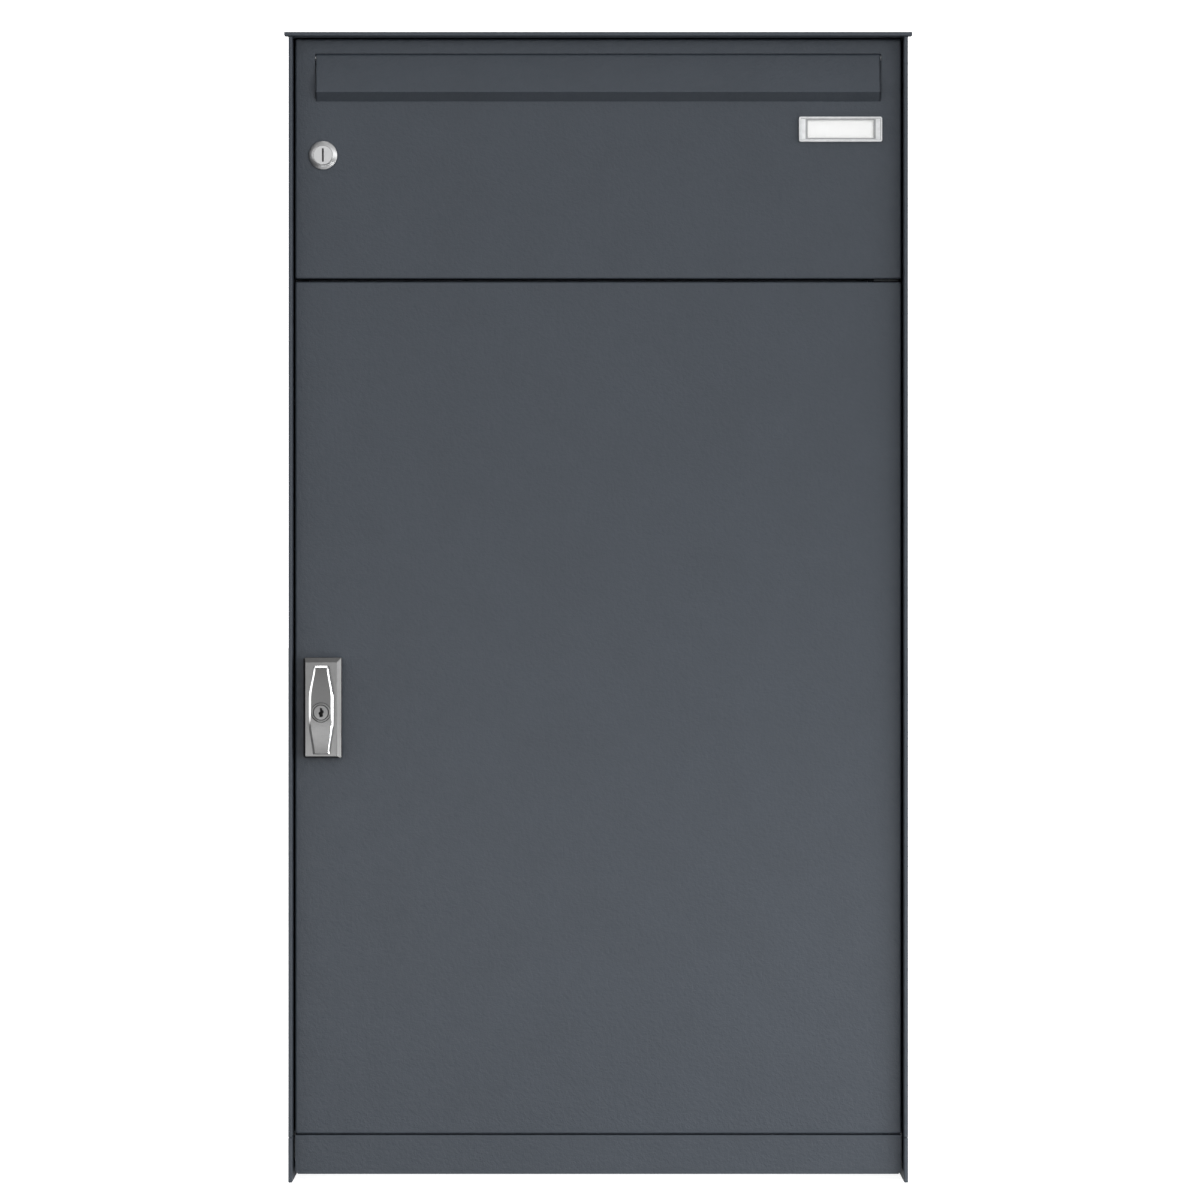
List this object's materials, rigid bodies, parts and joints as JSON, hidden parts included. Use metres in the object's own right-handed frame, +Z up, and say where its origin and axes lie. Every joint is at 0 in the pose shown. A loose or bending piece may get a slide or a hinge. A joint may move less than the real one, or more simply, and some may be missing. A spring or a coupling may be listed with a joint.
{
  "type": "parcel drop box",
  "caption": "Floor-standing sheet-metal drop box with a lockable letter compartment behind a lift-up flap above a parcel compartment with a turning handle.",
  "frame": {"origin": "centre of the overall footprint, on the floor", "axes": "+Z up, front with both doors faces -Y, +X to the right seen from the front"},
  "size_m": [0.4864, 0.395, 0.891],
  "materials": {
    "powder_coat": "fine-textured matt anthracite powder coat",
    "galvanised_sheet": "galvanised, dull",
    "zinc_plated_steel": "bright zinc plated",
    "satin_chrome": "satin chrome",
    "die_cast_satin": "zinc die casting, satin nickel",
    "black_foam": "closed-cell foam, matt black",
    "nylon": "black nylon",
    "silver_plastic": "clear plastic over a silver edge",
    "clear_plastic": "clear, glossy",
    "card": "blank white card"
  },
  "bodies": {
    "housing": {"side_panel_left": "powder_coat", "side_panel_right": "powder_coat", "roof_panel": "powder_coat", "back_panel": "powder_coat", "plinth_cheek_left": "powder_coat", "plinth_cheek_right": "powder_coat", "plinth_front": "powder_coat", "base_pan": "galvanised_sheet", "divider_shelf": "galvanised_sheet", "frame_post_left": "powder_coat", "frame_post_right": "powder_coat", "frame_head": "powder_coat", "frame_mid_rail": "powder_coat", "hinge_bracket_middle": "powder_coat", "hinge_pin_top": "powder_coat", "hinge_pin_bottom": "powder_coat"},
    "letter_door": {"letter_door_panel": "powder_coat", "letter_door_seal": "black_foam", "letter_slot_guard": "galvanised_sheet", "flap_bracket_left": "powder_coat", "flap_bracket_right": "powder_coat", "flap_rod": "zinc_plated_steel", "name_plate_frame": "silver_plastic", "name_plate_window": "clear_plastic", "name_card": "card", "letter_lock_housing": "satin_chrome", "letter_lock_nut": "zinc_plated_steel", "letter_door_hinge_bush_top": "nylon", "letter_door_hinge_bush_bottom": "nylon"},
    "letter_flap": {"letter_flap_panel": "powder_coat"},
    "letter_lock": {"letter_lock_plug": "satin_chrome", "letter_lock_cam": "zinc_plated_steel", "letter_cam_screw": "zinc_plated_steel"},
    "parcel_door": {"parcel_door_panel": "powder_coat", "parcel_door_seal": "black_foam", "parcel_door_stiffener": "galvanised_sheet", "handle_base": "die_cast_satin", "handle_gasket": "black_foam", "handle_screw_lower": "zinc_plated_steel", "handle_screw_upper": "zinc_plated_steel", "parcel_door_hinge_bush_top": "nylon", "parcel_door_hinge_bush_bottom": "nylon"},
    "turn_handle": {"handle_lever": "die_cast_satin", "handle_lock_barrel": "satin_chrome", "handle_spindle": "zinc_plated_steel", "handle_cam": "zinc_plated_steel", "handle_cam_bolt": "zinc_plated_steel"},
    "handle_key_core": {"handle_key_plug": "satin_chrome"}
  },
  "joints": [
    {"name": "letter_door_hinge", "type": "hinge", "parent": "housing", "child": "letter_door", "pos_m": [0.2235, -0.1695, 0.794], "axis": [0, 0, 1], "range_deg": [0, 95]},
    {"name": "parcel_door_hinge", "type": "hinge", "parent": "housing", "child": "parcel_door", "pos_m": [0.2235, -0.1695, 0.3674], "axis": [0, 0, 1], "range_deg": [0, 105]},
    {"name": "letter_flap_hinge", "type": "hinge", "parent": "letter_door", "child": "letter_flap", "pos_m": [0, -0.1717, 0.8727], "axis": [1, 0, 0], "range_deg": [-75, 0]},
    {"name": "letter_lock_turn", "type": "hinge", "parent": "letter_door", "child": "letter_lock", "pos_m": [-0.2137, -0.1755, 0.7966], "axis": [0, 1, 0], "range_deg": [0, 90]},
    {"name": "handle_turn", "type": "hinge", "parent": "parcel_door", "child": "turn_handle", "pos_m": [-0.2141, -0.1755, 0.3643], "axis": [0, 1, 0], "range_deg": [0, 90]},
    {"name": "handle_key_turn", "type": "hinge", "parent": "turn_handle", "child": "handle_key_core", "pos_m": [-0.2141, -0.1755, 0.3643], "axis": [0, 1, 0], "range_deg": [0, 90]}
  ]
}
